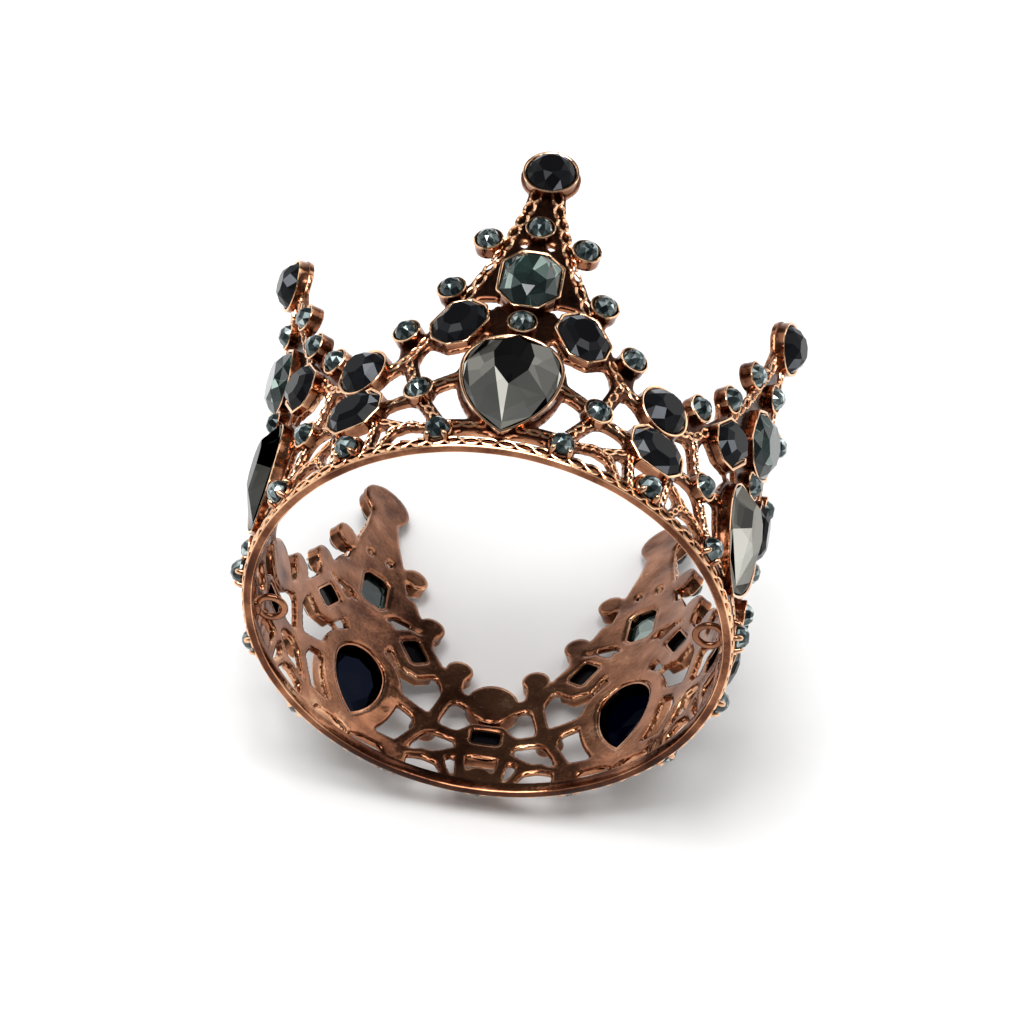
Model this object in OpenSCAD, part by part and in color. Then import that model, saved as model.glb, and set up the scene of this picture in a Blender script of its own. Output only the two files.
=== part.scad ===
// Mini crown: a cast open-work ring of five peaks, set with cut stones.
// It is drawn upright on its base ring, in mm, and then laid down as it rests.

/* [Ring] */
// Inner radius of the base ring
ring_in = 32.3; // [31.9:0.1:32.7]
// Height of the solid band at the base
band_h = 1.8; // [1.7:0.05:1.9]
// Thickness of the band, from inside to outside
band_t = 1.3; // [1.25:0.05:1.4]
// Thickness of the open-work wall
wall_t = 1.1; // [1.05:0.05:1.15]
// How far the raised ribs stand out from the middle of the wall
rib_out = 0.9; // [0.8:0.05:1]

/* [Settings] */
// How far a setting's rim stands out from the middle of the wall
rim_out = 1.6; // [1.55:0.05:1.7]
// Metal round a small stone
small_rim = 0.35; // [0.3:0.05:0.4]
// Metal round a large stone
large_rim = 0.45; // [0.4:0.05:0.5]
// Free gap between a stone and its setting
stone_gap = 0.06; // [0.05:0.01:0.08]

/* [Stones] */
// Diameter of the small round stones
small_d = 3.5; // [3.4:0.05:3.6]
// Diameter of the large round stones, on the tips and in the valleys
large_d = 7; // [6.8:0.1:7.1]
// Width of the cut-corner stones on the slopes and under the valleys
slope_w = 6; // [5.8:0.1:6.1]
// Length of the same stones
slope_l = 8; // [7.8:0.1:8.1]
// Width of the cut-corner stone in the middle of a peak
peak_w = 8; // [7.8:0.1:8.1]
// Height of the same stone
peak_l = 10; // [9.8:0.1:10.1]
// Width of the pear-shaped stone
pear_w = 13; // [12.8:0.1:13.1]
// How far the table of a cut-corner stone stands above its rim
table_up = 1.4; // [1.3:0.05:1.45]
// The same, for the small round stones
small_up = 1.2; // [1.1:0.05:1.25]
// The same, for the large round, the peak's middle and the pear-shaped stones
tall_up = 1.8; // [1.75:0.05:1.9]

/* [Eyelets] */
// Radius of an eyelet, to the middle of its wire
eyelet_r = 1.9; // [1.8:0.05:2]
// Thickness of its wire
eyelet_wire = 1.1; // [1:0.05:1.2]

/* [Hidden] */
$fn = 48;
PEAKS = 5;
step = 360 / PEAKS;
wall_in = ring_in + 0.15;
mid = wall_in + wall_t / 2;
pear_side = 13.42;
pear_in = pear_side - pear_w / 2;
floor_out = 0.35;
back_out = -0.4;
// How the crown lies: turned past a right angle, raised onto the floor and centred
lie_turn = 5.24;
lie_up = 38.492;
lie_back = 28.48;
// Height of the eyelets' middles, clear of what slides into the base band
eyelet_up = 2.6;

// The wall's section: height, and how far the wall has moved outward there
WALL = [[0, 0], [8, 0.1], [20, 0.5], [32, 1.4], [44, 2.7], [58, 4.75]];

// Where things sit: distance round the wall at the base, and height
ALONG = 0;
UP = 1;
TIP = [0, 52.9];
PEAK = [0, 32.2];
SLOPE = [8.0, 23.5];
SLOPE_TURN = 33;
PEAR = [0, 14.35];
VALLEY = [20.73, 17.5];
UNDER = [20.73, 9.7];
FOOT = [20.73, 2.7];
MIDDLE_SMALL = [[0, 42.2], [0, 23.9]];
SIDE_SMALL = [[6.2, 39.5], [9.9, 30.4], [15.1, 23.2], [11.75, 11]];
BASE_SMALL = [8.0, 2.7];

// Struts of half a peak: from, to and width
FROM_U = 0;
FROM_Z = 1;
TO_U = 2;
TO_Z = 3;
WIDE = 4;
STRUTS = [
    [6.0, 33.5, 7.7, 29.6, 2.2],
    [9.9, 29.4, 9.5, 27.0, 2.2],
    [12.2, 21.9, 14.6, 18.3, 2.2],
    [15.0, 22.0, 14.8, 17.6, 2.4],
    [14.5, 18.4, 12.7, 12.6, 2.0],
    [10.4, 12.2, 6.4, 13.9, 2.3],
    [11.3, 9.6, 8.6, 5.2, 1.9],
    [6.9, 4.2, 1.8, 4.2, 2.8],
    [9.6, 4.1, 12.3, 5.0, 1.4],
    [12.1, 5.0, 14.8, 4.6, 1.4],
    [14.5, 4.9, 16.6, 1.1, 1.3],
    [13.6, 5.0, 16.8, 6.9, 1.6],
];
// The same, on one side of a valley and counted from its middle
VALLEY_STRUTS = [
    [-3.4, 17.0, -6.6, 18.7, 2.2],
    [-3.8, 9.9, -7.4, 10.5, 2.0],
    [-3.2, 7.0, -2.5, 1.1, 1.6],
];
// Raised ribs of half a peak and of a valley, in the same columns
RIBS = [
    [0.9, 50.0, 2.2, 44.6, 0.9],
    [2.2, 44.9, 4.6, 37.6, 0.9],
    [5.2, 35.6, 7.8, 29.6, 0.9],
    [12.6, 21.6, 14.6, 18.6, 0.9],
    [14.4, 18.6, 12.8, 12.8, 0.9],
    [10.4, 12.2, 6.6, 13.8, 0.9],
    [11.1, 9.4, 8.7, 5.6, 0.9],
    [6.7, 4.7, 2.6, 4.9, 0.9],
    [9.6, 4.2, 12.4, 5.1, 0.8],
    [12.2, 5.1, 16.6, 4.0, 0.8],
];
VALLEY_RIBS = [
    [-3.6, 17.1, -6.4, 18.6, 0.9],
    [-3.9, 9.9, -7.2, 10.4, 0.9],
];

function wall_at(z) = mid + lookup(z, WALL);
function lean(z) = atan((lookup(z + 3, WALL) - lookup(z - 3, WALL)) / 6);
function turn(u) = u / mid * 180 / PI;
function flat_x(u) = mid * sin(turn(u));

// Puts its children on the wall: z outward, y up the wall, x to the right from outside
module on_wall(place)
    rotate([0, 0, turn(place[ALONG])]) translate([0, -wall_at(place[UP]), place[UP]])
        rotate([90 + lean(place[UP]), 0, 0]) children();

// Cut-corner outline of a stone, grown by g all round
function cut_corner(w, l, g) =
    let (x = w / 2 + g, y = l / 2 + g, c = w * 0.3 + g * 0.6)
    [[x - c, y], [x, y - c], [x, c - y], [x - c, -y], [c - x, -y], [-x, c - y], [-x, y - c], [c - x, y]];

// Pear outline: a round head and two long arcs that meet in the point below
module pear_2d(g) {
    circle(pear_w / 2 + g, $fn = 96);
    intersection() {
        translate([-pear_in, 0]) circle(pear_side + g, $fn = 180);
        translate([pear_in, 0]) circle(pear_side + g, $fn = 180);
        translate([-pear_side, -2 * pear_side]) square(2 * pear_side);
    }
}

module strut_2d(s) {
    run = [flat_x(s[TO_U]) - flat_x(s[FROM_U]), s[TO_Z] - s[FROM_Z]];
    translate([flat_x(s[FROM_U]), s[FROM_Z]]) rotate(atan2(run[1], run[0]))
        translate([0, -s[WIDE] / 2]) square([norm(run), s[WIDE]]);
}

module both_sides() {
    children();
    mirror([1, 0]) children();
}

// The net of one peak, seen square on
module peak_2d() {
    difference() {
        union() {
            translate(TIP) circle(large_d / 2 + 0.3);
            polygon([[-2.3, 50.5], [2.3, 50.5], [2.8, 45.5], [4.1, 41], [5.3, 35.5], [6.9, 30],
                     [-6.9, 30], [-5.3, 35.5], [-4.1, 41], [-2.8, 45.5]]);
            translate(PEAK) polygon(cut_corner(peak_w, peak_l, 0.4));
            polygon([[-4, 27.5], [4, 27.5], [5.5, 24], [3.4, 20], [-3.4, 20], [-5.5, 24]]);
            translate(PEAR) pear_2d(0.9);
            translate([-2.1, 1]) square([4.2, 3.4]);
            both_sides() {
                translate([flat_x(SLOPE[ALONG]), SLOPE[UP]]) rotate(SLOPE_TURN)
                    polygon(cut_corner(slope_w, slope_l, 0.8));
                for (p = SIDE_SMALL) translate([flat_x(p[ALONG]), p[UP]]) circle(small_d / 2 + 0.15);
                translate([flat_x(BASE_SMALL[ALONG]), BASE_SMALL[UP]]) circle(small_d / 2 + 0.25);
                for (s = STRUTS) strut_2d(s);
            }
        }
        both_sides() polygon([[1.3, 38.5], [2.2, 38.5], [2.2, 40.6], [1.4, 40.6]]);
    }
}

module valley_2d() {
    translate([0, VALLEY[UP]]) circle(large_d / 2 + 0.3);
    translate([0, UNDER[UP]]) rotate(90) polygon(cut_corner(slope_w, slope_l, 0.35));
    translate([0, FOOT[UP]]) circle(small_d / 2 + 0.25);
    both_sides() for (s = VALLEY_STRUTS) strut_2d(s);
}

// A ring that follows the wall's section, from one offset to another off its middle
module wall_ring(a, b)
    rotate_extrude($fn = 180) polygon(concat(
        [for (w = WALL) [mid + a + w[1], max(w[0], 0.9)]],
        [for (i = [len(WALL) - 1:-1:0]) [mid + b + WALL[i][1], max(WALL[i][0], 0.9)]]));

// A flat drawing pushed through the wall
module through_wall() rotate([90, 0, 0]) translate([0, 0, mid - 9]) linear_extrude(20) children();

module net()
    intersection() {
        wall_ring(-wall_t / 2, wall_t / 2);
        for (k = [0:PEAKS - 1]) {
            rotate([0, 0, k * step]) through_wall() peak_2d();
            rotate([0, 0, (k + 0.5) * step]) through_wall() valley_2d();
        }
    }

module ribs()
    intersection() {
        wall_ring(0, rib_out);
        for (k = [0:PEAKS - 1]) {
            rotate([0, 0, k * step]) through_wall() both_sides() for (s = RIBS) strut_2d(s);
            rotate([0, 0, (k + 0.5) * step]) through_wall() both_sides() for (s = VALLEY_RIBS) strut_2d(s);
        }
    }

// The base band, with a shallow channel round its outside
module band()
    rotate_extrude($fn = 180) polygon([
        [ring_in, 0], [ring_in + band_t, 0], [ring_in + band_t, 0.4], [ring_in + band_t - 0.2, 0.5],
        [ring_in + band_t - 0.2, band_h - 0.4], [ring_in + band_t, band_h - 0.3],
        [ring_in + band_t, band_h], [ring_in, band_h]]);

module solid_out(a, b) translate([0, 0, a]) linear_extrude(b - a) children();

// All places of one peak and the valley after it, set round the crown
module all_round() for (k = [0:PEAKS - 1]) rotate([0, 0, k * step]) children();

module two_sides(place) {
    on_wall(place) children();
    on_wall([-place[ALONG], place[UP]]) mirror([1, 0, 0]) children();
}

module settings(g_small, g_large, a, b) {
    for (p = MIDDLE_SMALL) on_wall(p) solid_out(a, b) circle(small_d / 2 + g_small);
    for (p = SIDE_SMALL) two_sides(p) solid_out(a, b) circle(small_d / 2 + g_small);
    for (p = [TIP, VALLEY]) on_wall(p) solid_out(a, b) circle(large_d / 2 + g_large);
    on_wall(PEAK) solid_out(a, b) polygon(cut_corner(peak_w, peak_l, g_large));
    two_sides(SLOPE) solid_out(a, b) rotate(SLOPE_TURN) polygon(cut_corner(slope_w, slope_l, g_large));
    on_wall(UNDER) solid_out(a, b) rotate(90) polygon(cut_corner(slope_w, slope_l, g_large));
    on_wall(PEAR) solid_out(a, b) pear_2d(g_large);
}

// Open windows in the back, behind the cut-corner and the pear-shaped stones
module windows() {
    on_wall(PEAK) solid_out(-3, 1) square([4.4, 6.4], center = true);
    two_sides(SLOPE) solid_out(-3, 1) translate([0, 0.5]) rotate(SLOPE_TURN)
        square([2.8, 4.2], center = true);
    on_wall(UNDER) solid_out(-3, 1) translate([0, 0.8]) square([4.2, 2.4], center = true);
    on_wall(PEAR) solid_out(-3, 1) translate([0, 0.5]) pear_2d(-2.3);
}

// Puts its children where the stones at the foot sit
module at_feet() {
    two_sides(BASE_SMALL) children();
    on_wall(FOOT) children();
}

// A peg and two little prongs that carry a stone at the foot
module foot() {
    solid_out(back_out, floor_out) circle(small_d / 2 + small_rim);
    for (s = [-1, 1]) translate([s * 1.55 - 0.4, -2.55, 0.2]) cube([0.8, 1.1, 1.1]);
}

module eyelet(a)
    rotate([0, 0, a]) translate([0, -(ring_in - eyelet_r), eyelet_up])
        rotate_extrude() translate([eyelet_r, 0]) circle(eyelet_wire / 2, $fn = 24);

module frame_upright()
    difference() {
        union() {
            net();
            ribs();
            band();
            all_round() {
                settings(small_rim, large_rim, back_out, rim_out);
                at_feet() foot();
            }
            eyelet(-97);
            eyelet(86);
        }
        all_round() {
            settings(stone_gap, stone_gap, floor_out, 5);
            at_feet() solid_out(floor_out, 5) circle(small_d / 2 + stone_gap);
            windows();
        }
    }

// A cut stone: its outline, scaled level by level from the back to the table
module cut_stone(outline, up) {
    n = len(outline);
    levels = [[0.5, floor_out + stone_gap], [1, 1.2], [1, 1.5], [0.55, rim_out + up]];
    polyhedron(
        points = [for (l = levels) for (p = outline) [p[0] * l[0], p[1] * l[0], l[1]]],
        faces = concat(
            [[for (i = [0:n - 1]) i], [for (i = [4 * n - 1:-1:3 * n]) i]],
            [for (j = [0:2]) for (i = [0:n - 1])
                [j * n + i, (j + 1) * n + i, (j + 1) * n + (i + 1) % n, j * n + (i + 1) % n]]));
}

function round_outline(d, n) = [for (i = [0:n - 1]) [cos((i + 0.5) * 360 / n), sin((i + 0.5) * 360 / n)] * d / 2];
function reversed(list) = [for (i = [len(list) - 1:-1:0]) list[i]];
// Half of the pear below its head: the angle runs from the widest place to the point
function pear_outline() =
    let (last = asin((pear_side * pear_side - pear_in * pear_in) ^ 0.5 / pear_side),
         low = [for (i = [1:5]) [pear_side * cos(i * last / 5) - pear_in, -pear_side * sin(i * last / 5)]])
    concat([for (i = [0:10]) [cos(i * 18), sin(i * 18)] * pear_w / 2],
           [for (p = low) [-p[0], p[1]]],
           [for (i = [3:-1:0]) low[i]]);

module stone_at(k, place, outline)
    color("darkslategray") rest() rotate([0, 0, k * step]) on_wall(place) cut_stone(outline, tall_up);

module tip_stone(k) stone_at(k, TIP, round_outline(large_d, 16));
module valley_stone(k) stone_at(k, VALLEY, round_outline(large_d, 16));
module peak_stone(k) stone_at(k, PEAK, reversed(cut_corner(peak_w, peak_l, 0)));
module pear_stone(k) stone_at(k, PEAR, pear_outline());

module turned_stone(k, place, a)
    color("darkslategray") rest() rotate([0, 0, k * step]) on_wall(place) rotate(a)
        cut_stone(reversed(cut_corner(slope_w, slope_l, 0)), table_up);

module under_stone(k) turned_stone(k, UNDER, 90);
// Slope stones are counted in pairs, right and then left of each peak
module slope_stone(k)
    turned_stone(floor(k / 2), k % 2 == 0 ? SLOPE : [-SLOPE[ALONG], SLOPE[UP]],
                 k % 2 == 0 ? SLOPE_TURN : -SLOPE_TURN);

module small_stones() {
    outline = round_outline(small_d, 10);
    color("slategray") rest() all_round() {
        for (p = MIDDLE_SMALL) on_wall(p) cut_stone(outline, small_up);
        for (p = concat(SIDE_SMALL, [BASE_SMALL])) two_sides(p) cut_stone(outline, small_up);
        on_wall(FOOT) cut_stone(outline, small_up);
    }
}

module frame() color("peru") rest() frame_upright();

// The crown lies on a valley stone and two tip stones, with its base toward -Y
module rest() translate([0, -lie_back, lie_up]) rotate([-90 - lie_turn, 0, 0]) children();

frame();
tip_stone(0);  // tip_stone_1
tip_stone(1);  // tip_stone_2
tip_stone(2);  // tip_stone_3
tip_stone(3);  // tip_stone_4
tip_stone(4);  // tip_stone_5
peak_stone(0);  // peak_stone_1
peak_stone(1);  // peak_stone_2
peak_stone(2);  // peak_stone_3
peak_stone(3);  // peak_stone_4
peak_stone(4);  // peak_stone_5
pear_stone(0);  // pear_stone_1
pear_stone(1);  // pear_stone_2
pear_stone(2);  // pear_stone_3
pear_stone(3);  // pear_stone_4
pear_stone(4);  // pear_stone_5
valley_stone(0);  // valley_stone_1
valley_stone(1);  // valley_stone_2
valley_stone(2);  // valley_stone_3
valley_stone(3);  // valley_stone_4
valley_stone(4);  // valley_stone_5
under_stone(0);  // under_stone_1
under_stone(1);  // under_stone_2
under_stone(2);  // under_stone_3
under_stone(3);  // under_stone_4
under_stone(4);  // under_stone_5
slope_stone(0);  // slope_stone_1
slope_stone(1);  // slope_stone_2
slope_stone(2);  // slope_stone_3
slope_stone(3);  // slope_stone_4
slope_stone(4);  // slope_stone_5
slope_stone(5);  // slope_stone_6
slope_stone(6);  // slope_stone_7
slope_stone(7);  // slope_stone_8
slope_stone(8);  // slope_stone_9
slope_stone(9);  // slope_stone_10
small_stones();
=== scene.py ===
"""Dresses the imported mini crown: cast copper net, settings, filigree wires and cut stones.

Every shape is worked out upright, in millimetres, on the crown's own wall: u runs round the wall
at its base radius, z runs up and w runs outward from the middle of the wall. CrownWall lays the
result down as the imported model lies, in metres.
"""

import logging
import math
from dataclasses import dataclass
from enum import Enum

import bpy
import numpy as np
from mathutils import Matrix, Vector


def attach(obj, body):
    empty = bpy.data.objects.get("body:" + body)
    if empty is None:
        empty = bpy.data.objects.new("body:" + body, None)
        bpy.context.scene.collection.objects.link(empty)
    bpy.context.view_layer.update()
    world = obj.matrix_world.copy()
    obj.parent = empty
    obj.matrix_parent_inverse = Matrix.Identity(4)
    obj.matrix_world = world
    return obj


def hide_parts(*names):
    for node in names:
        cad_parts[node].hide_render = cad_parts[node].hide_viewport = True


LOG = logging.getLogger("crown")
MM = 0.001
PEAKS = 5
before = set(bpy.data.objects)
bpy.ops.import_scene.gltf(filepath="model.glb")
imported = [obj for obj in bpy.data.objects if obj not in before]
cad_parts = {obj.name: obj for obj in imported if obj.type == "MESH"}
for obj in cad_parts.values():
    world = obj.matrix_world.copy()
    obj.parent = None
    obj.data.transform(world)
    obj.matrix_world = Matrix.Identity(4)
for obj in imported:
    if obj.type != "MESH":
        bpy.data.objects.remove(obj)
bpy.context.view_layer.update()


class Finish(Enum):
    """The finishes that a piece of the crown can have."""

    COPPER = "antique_copper"
    BLACK = "black_stone"
    TEAL = "teal_stone"
    MIRROR = "mirror_grey_stone"
    GREY = "grey_stone"


@dataclass
class Surface:
    """A mesh in the making: points in mm on the upright crown, faces, and a value a point of wear and
    painted shade.
    """

    points: np.ndarray
    quads: np.ndarray
    wear_and_shade: np.ndarray

    @staticmethod
    def joined(parts: list["Surface"]) -> "Surface":
        """Puts several surfaces into one, with the face numbers moved along.

        Args:
            parts: The surfaces.

        Returns:
            All of them as one.
        """
        starts = np.cumsum([0] + [len(p.points) for p in parts[:-1]])
        return Surface(
            np.concatenate([p.points for p in parts]),
            np.concatenate([p.quads + s for p, s in zip(parts, starts)]),
            np.concatenate([p.wear_and_shade for p in parts]),
        )

    def outward(self) -> "Surface":
        """Turns the faces of a closed surface outward, by the sign of the volume they enclose.

        Returns:
            The surface itself, or one with every face turned.
        """
        a, b, c, d = (self.points[self.quads[:, i]] for i in range(4))
        volume = (np.cross(a, b) * c).sum() + (np.cross(a, c) * d).sum()
        return self if volume > 0 else Surface(self.points, self.quads[:, ::-1], self.wear_and_shade)

    def welded(self, step: float = 1e-4) -> "Surface":
        """Merges points that share a place, so that poles and seams are closed.

        Args:
            step: Points closer than this, in mm, count as one.

        Returns:
            The surface with each place held once.
        """
        keys = np.round(self.points / step).astype(np.int64)
        _, first, back = np.unique(keys, axis=0, return_index=True, return_inverse=True)
        return Surface(self.points[first], back.reshape(-1)[self.quads], self.wear_and_shade[first])


@dataclass(frozen=True)
class CrownWall:
    """The crown's wall and how the crown lies.

    The wall is a ring whose radius grows with height as the section tells, and the settings are
    flat, square on the wall at their own places.
    """

    mid: float = 33.0
    section_z: tuple[float, ...] = (-8, 0, 8, 20, 32, 44, 58)
    section_out: tuple[float, ...] = (0, 0, 0.1, 0.5, 1.4, 2.7, 4.75)
    blend: float = 3.0
    lie_turn: float = 5.24
    lie_up: float = 38.492
    lie_back: float = 28.48

    @property
    def half_period(self) -> float:
        """Distance round the wall from a peak's middle to the next valley's."""
        return self.mid * math.pi / PEAKS

    def out(self, z: np.ndarray) -> np.ndarray:
        """Outward move of the wall at height z: the section, averaged over a short stretch."""
        shifts = np.linspace(-self.blend, self.blend, 7)
        return sum(np.interp(z + s, self.section_z, self.section_out) for s in shifts) / len(shifts)

    def lean(self, z: float) -> float:
        """The wall's outward lean at height z, in radians."""
        rise = self.out(np.array([z - 1.0, z + 1.0]))
        return math.atan((rise[1] - rise[0]) / 2)

    def curved(self, u: np.ndarray, z: np.ndarray, w: np.ndarray) -> np.ndarray:
        """Points on the curved wall: angle is u over the base radius, radius is wall plus w.

        Args:
            u: Places round the wall.
            z: Heights.
            w: Distances out from the middle of the wall.

        Returns:
            The points on the upright crown.
        """
        angle = u / self.mid
        radius = self.mid + self.out(z) + w
        return np.stack([radius * np.sin(angle), -radius * np.cos(angle), z + 0 * u], axis=-1)

    def flat(self, local: np.ndarray, u: float, z: float, turn: float = 0.0) -> np.ndarray:
        """Puts flat local points (x right, y up, w out) square on the wall.

        Args:
            local: Points, one a row, in mm.
            u: Place round the wall.
            z: Height on the wall.
            turn: Turn of the local drawing about its own middle, in degrees.

        Returns:
            The points on the upright crown.
        """
        a, lean, t = u / self.mid, self.lean(z), math.radians(turn)
        x = local[:, 0] * math.cos(t) - local[:, 1] * math.sin(t)
        y = local[:, 0] * math.sin(t) + local[:, 1] * math.cos(t)
        right = np.array([math.cos(a), math.sin(a), 0.0])
        up = np.array([math.sin(a) * math.sin(lean), -math.cos(a) * math.sin(lean), math.cos(lean)])
        out = np.array([math.sin(a) * math.cos(lean), -math.cos(a) * math.cos(lean), -math.sin(lean)])
        origin = self.curved(np.array([u]), np.array([z]), np.array([0.0]))[0]
        return origin + np.outer(x, right) + np.outer(y, up) + np.outer(local[:, 2], out)

    def laid(self, points: np.ndarray) -> np.ndarray:
        """The points in metres as the crown lies: turned back, raised and centred.

        Args:
            points: Points on the upright crown, in mm.

        Returns:
            The same points where they lie.
        """
        a = -math.radians(90 + self.lie_turn)
        turn = np.array([[1, 0, 0], [0, math.cos(a), -math.sin(a)], [0, math.sin(a), math.cos(a)]])
        return (points @ turn.T + np.array([0, -self.lie_back, self.lie_up])) * MM


WALL = CrownWall()


def turn_of(count: int) -> np.ndarray:
    """Evenly spaced angles of one full turn, the first at nothing."""
    return np.arange(count) * 2 * math.pi / count


def circle(a: np.ndarray) -> np.ndarray:
    """Points of the circle of radius one in the directions a, one a row."""
    return np.stack([np.cos(a), np.sin(a)], axis=1)


def spun(points: np.ndarray, k: int) -> np.ndarray:
    """Turns upright points to peak number k, counted from the front.

    Args:
        points: Points at the front peak.
        k: The peak's number.

    Returns:
        The points at that peak.
    """
    a = 2 * math.pi * k / PEAKS
    turn = np.array([[math.cos(a), -math.sin(a), 0], [math.sin(a), math.cos(a), 0], [0, 0, 1]])
    return points @ turn.T


def round_the_crown(part: Surface) -> Surface:
    """The same surface at every peak."""
    return Surface.joined([Surface(spun(part.points, k), part.quads, part.wear_and_shade) for k in range(PEAKS)])


def mirrored(part: Surface) -> Surface:
    """The surface seen in the mirror plane of a peak, with its faces turned back outward."""
    return Surface(part.points * np.array([-1, 1, 1]), part.quads[:, ::-1], part.wear_and_shade)


def grid_quads(rows: int, columns: int, wrap_rows: bool, wrap_columns: bool) -> np.ndarray:
    """Quads between the points of a grid, counted row by row, wrapped round where asked.

    Args:
        rows: The grid's rows.
        columns: Its columns.
        wrap_rows: Whether the last row meets the first.
        wrap_columns: Whether the last column meets the first.

    Returns:
        Four point numbers for each quad.
    """
    index = np.arange(rows * columns).reshape(rows, columns)
    if wrap_rows:
        index = np.concatenate([index, index[:1]], axis=0)
    if wrap_columns:
        index = np.concatenate([index, index[:, :1]], axis=1)
    corners = (index[:-1, :-1], index[:-1, 1:], index[1:, 1:], index[1:, :-1])
    return np.stack([c.ravel() for c in corners], axis=1)


def blender_mesh(name: str, points: np.ndarray, faces: list[list[int]] | np.ndarray,
                 smooth: float | None) -> bpy.types.Object:
    """Makes an object at the origin from points in metres.

    Args:
        name: The piece's name.
        points: One point a row.
        faces: Lists of point numbers, or an array of quads whose repeated corners are dropped.
        smooth: Angle in degrees past which an edge stays sharp, or None for flat facets.

    Returns:
        The linked object.
    """
    if isinstance(faces, np.ndarray):
        same = faces == np.roll(faces, 1, axis=1)
        whole = faces[~same.any(axis=1)].tolist()
        short = [f[~s].tolist() for f, s in zip(faces[same.any(axis=1)], same[same.any(axis=1)])]
        faces = whole + [f for f in short if len(set(f)) >= 3]
    mesh = bpy.data.meshes.new(name)
    mesh.from_pydata(points.tolist(), [], faces)
    mesh.update()
    if smooth is not None:
        mesh.polygons.foreach_set("use_smooth", np.ones(len(mesh.polygons), dtype=bool))
        mesh.set_sharp_from_angle(angle=math.radians(smooth))
    piece = bpy.data.objects.new(name, mesh)
    bpy.context.scene.collection.objects.link(piece)
    return piece


def copper_piece(name: str, part: Surface, smooth: float = 42.0) -> bpy.types.Object:
    """Lays a metal surface down, closes its seams and stores its value of wear and painted shade.

    Args:
        name: The piece's name.
        part: Its surface on the upright crown.
        smooth: Angle in degrees past which an edge stays sharp.

    Returns:
        The linked object.
    """
    part = part.welded()
    piece = blender_mesh(name, WALL.laid(part.points), part.quads, smooth)
    layer = piece.data.attributes.new("wear_and_shade", "FLOAT", "POINT")
    layer.data.foreach_set("value", part.wear_and_shade.astype(np.float32))
    return piece


@dataclass(frozen=True)
class Round:
    """A round outline."""

    radius: float
    steps: int = 32

    def loop(self, grow: float) -> np.ndarray:
        """Points on the circle, grown outward by grow."""
        return (self.radius + grow) * circle(turn_of(self.steps))

    def corners(self) -> np.ndarray:
        """Sixteen girdle points for a cut stone."""
        return self.radius * circle((np.arange(16) + 0.5) * math.pi / 8)

    def distance(self, x: np.ndarray, y: np.ndarray) -> np.ndarray:
        """Distance from the outline, below nothing inside: from the middle, less the radius."""
        return np.hypot(x, y) - self.radius


@dataclass(frozen=True)
class CutCorner:
    """A rectangle with cut corners, softened a little at each one."""

    width: float
    length: float
    cut: float = 0.3
    soft: float = 0.18
    cut_grow: float = 0.6
    between: tuple[float, float] = (0.35, 0.65)

    def sharp(self, grow: float) -> np.ndarray:
        """The eight corners, grown outward by grow, counter-clockwise from the right.

        Args:
            grow: How far each side moves out.

        Returns:
            The corners, one a row.
        """
        x, y = self.width / 2 + grow, self.length / 2 + grow
        c = self.width * self.cut + grow * self.cut_grow
        return np.array([[x, c - y], [x, y - c], [x - c, y], [c - x, y],
                         [-x, y - c], [-x, c - y], [c - x, -y], [x - c, -y]])

    def loop(self, grow: float) -> np.ndarray:
        """Four points a side: both ends short of the corner, and two between them.

        Args:
            grow: How far the outline moves out.

        Returns:
            The outline, one point a row.
        """
        a = self.sharp(grow)
        b = np.roll(a, -1, axis=0)
        side = np.linalg.norm(b - a, axis=1, keepdims=True)
        near = np.minimum(self.soft / side, 0.4)
        stops = [a + (b - a) * t for t in (near, *self.between, 1 - near)]
        return np.stack(stops, axis=1).reshape(-1, 2)

    def corners(self) -> np.ndarray:
        """The eight corners and the middles of the sides between them."""
        a = self.sharp(0.0)
        return np.stack([a, (a + np.roll(a, -1, axis=0)) / 2], axis=1).reshape(-1, 2)

    def distance(self, x: np.ndarray, y: np.ndarray) -> np.ndarray:
        """Distance from the outline, below nothing inside: the farthest of its eight sides.

        Args:
            x: Place across, from the outline's middle.
            y: Place along.

        Returns:
            The signed distance.
        """
        x, y = np.abs(x), np.abs(y)
        w, h = self.width / 2, self.length / 2
        slant = (x + y - (w + h - self.width * self.cut)) / math.sqrt(2)
        return np.maximum(np.maximum(x - w, y - h), slant)


@dataclass(frozen=True)
class Pear:
    """A pear: a round head, and two long arcs of one radius that meet in the point below."""

    width: float = 13.0
    side: float = 13.42
    steps: int = 56
    crowd: float = 0.32

    @property
    def inset(self) -> float:
        """How far each long arc's middle lies beyond the pear's own."""
        return self.side - self.width / 2

    def turned(self, a: np.ndarray, grow: float) -> np.ndarray:
        """Outline points in the directions a, seen from the head's middle.

        Args:
            a: The directions.
            grow: How far the outline moves out.

        Returns:
            The points, one a row.
        """
        across = (self.inset * np.sin(a)) ** 2
        below = np.sqrt((self.side + grow) ** 2 - across) - self.inset * np.abs(np.cos(a))
        return np.where(np.sin(a) >= 0, self.width / 2 + grow, below)[:, None] * circle(a)

    def loop(self, grow: float) -> np.ndarray:
        """Points all round from the point of the pear, their spacing varied by a sine."""
        a = 2 * math.pi * (np.arange(self.steps) / self.steps)
        return self.turned(a - math.pi / 2 - self.crowd * np.sin(a), grow)

    def corners(self) -> np.ndarray:
        """Sixteen girdle points, the first on the point of the pear."""
        return self.turned(np.arange(16) * math.pi / 8 - math.pi / 2, 0.0)

    def distance(self, x: np.ndarray, y: np.ndarray) -> np.ndarray:
        """Distance from the outline: from its head's circle above, from its two long arcs below."""
        below = np.hypot(np.abs(x) + self.inset, y) - self.side
        return np.where(y >= 0, np.hypot(x, y) - self.width / 2, below)


Outline = Round | CutCorner | Pear


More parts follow.
